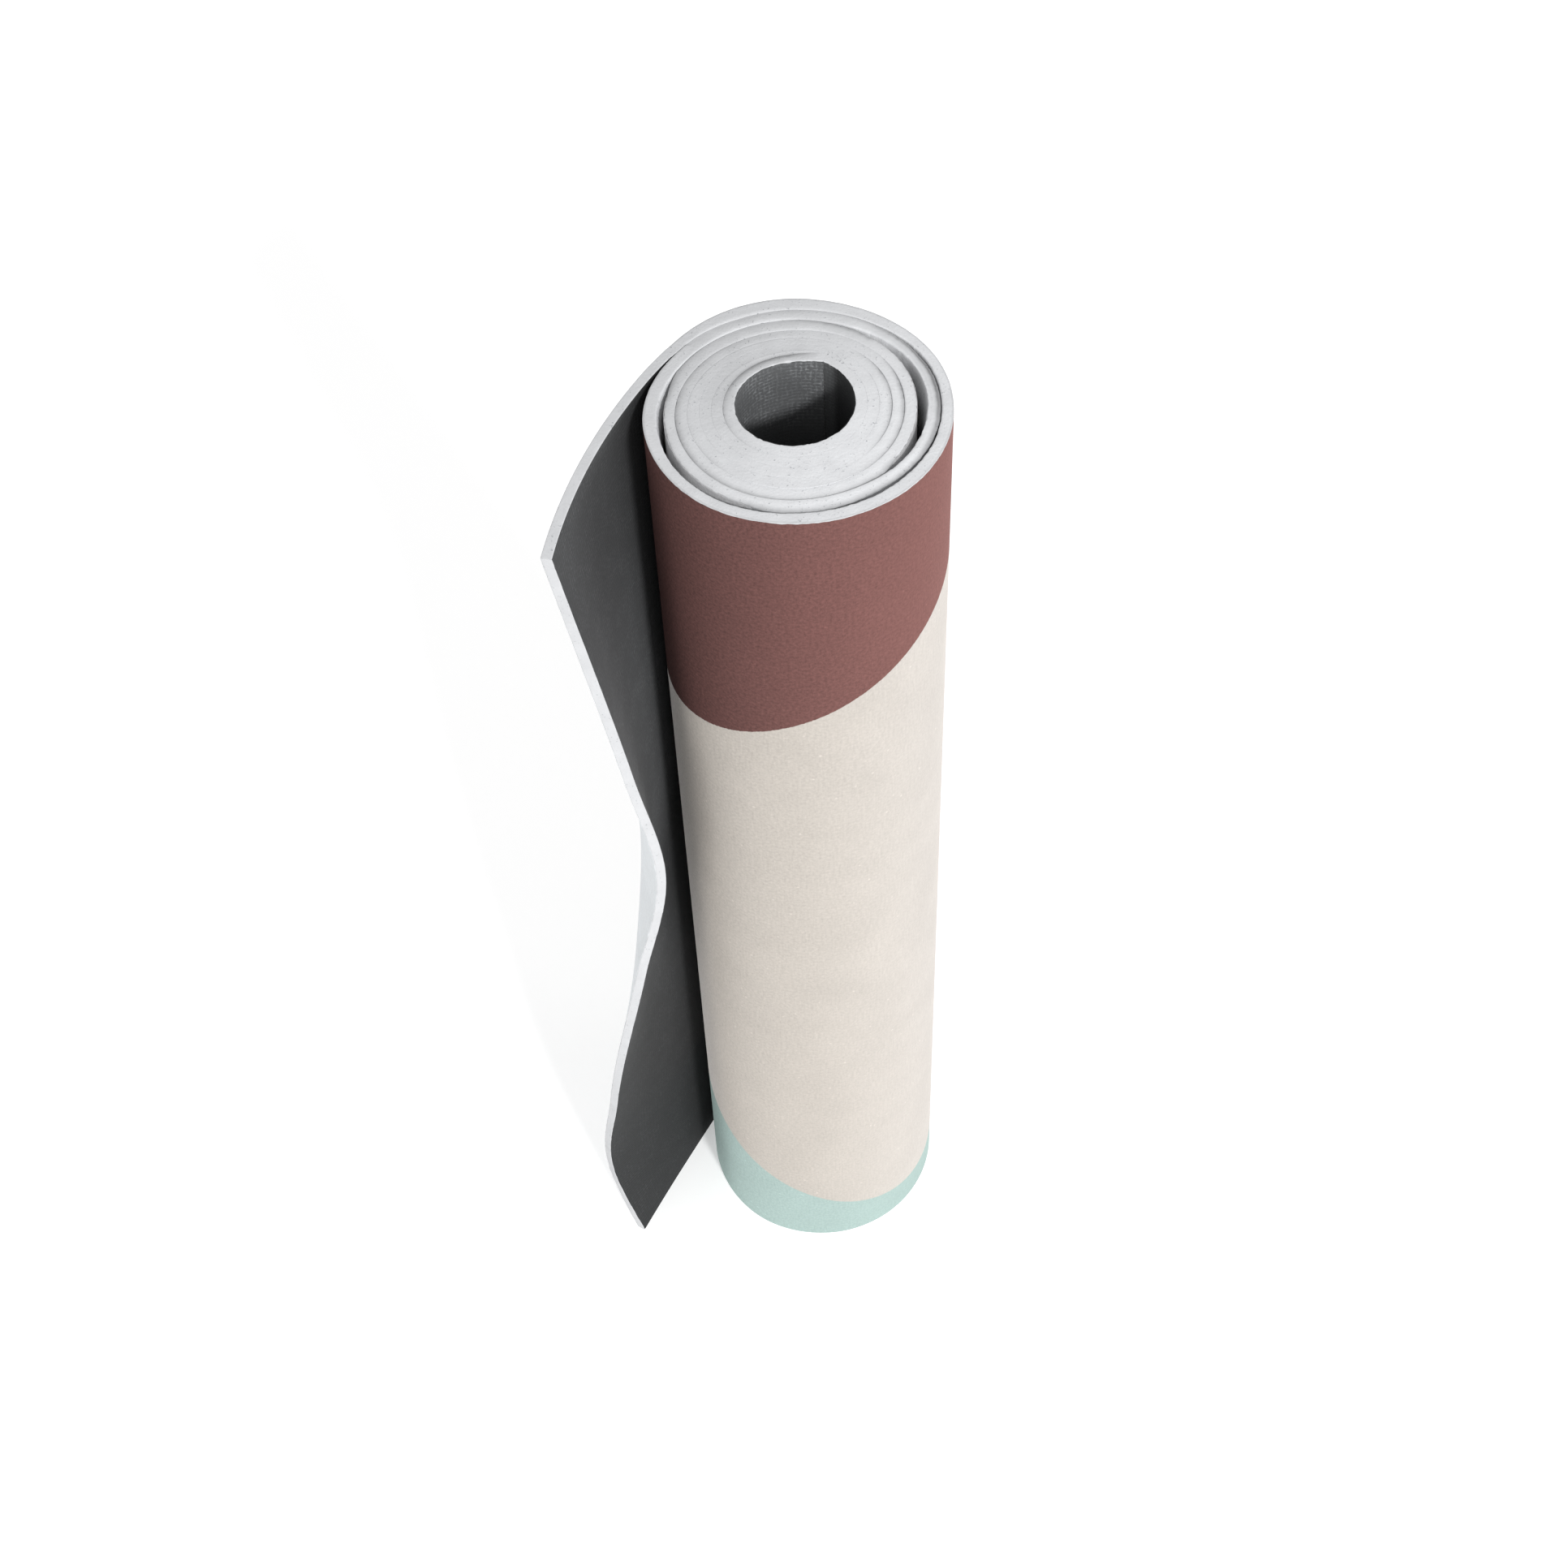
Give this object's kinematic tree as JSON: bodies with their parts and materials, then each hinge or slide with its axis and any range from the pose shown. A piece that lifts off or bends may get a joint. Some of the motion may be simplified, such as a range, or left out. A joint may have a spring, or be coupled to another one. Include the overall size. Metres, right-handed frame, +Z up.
{
  "type": "rolled yoga mat",
  "caption": "Laminated foam exercise mat wound into an upright roll, print face outside, with a springy free end that swings away from the roll.",
  "frame": {"origin": "middle of the box of the whole form, on the floor that the roll stands on", "axes": "+Z up along the roll's axis; the free end leaves the roll towards -X and -Y; the winding runs anticlockwise outwards seen from above"},
  "size_m": [0.1904, 0.1464, 0.61],
  "materials": {
    "print_face": "brushed textile, matte, printed in maroon, beige and sage blocks",
    "foam": "fine closed-cell foam, matte, cut edge",
    "backing": "woven grip texture, matte"
  },
  "bodies": {
    "roll": {"roll_print_face": "print_face", "roll_foam": "foam", "roll_backing": "backing"},
    "free_end": {"free_end_print_face": "print_face", "free_end_foam": "foam", "free_end_backing": "backing"}
  },
  "joints": [
    {"name": "free_end_swing", "type": "hinge", "parent": "roll", "child": "free_end", "pos_m": [-0.03472, 0.02763, 0.305], "axis": [0, 0, -1], "range_deg": [-15, 45], "stiffness_Nm_per_rad": 0.06}
  ]
}
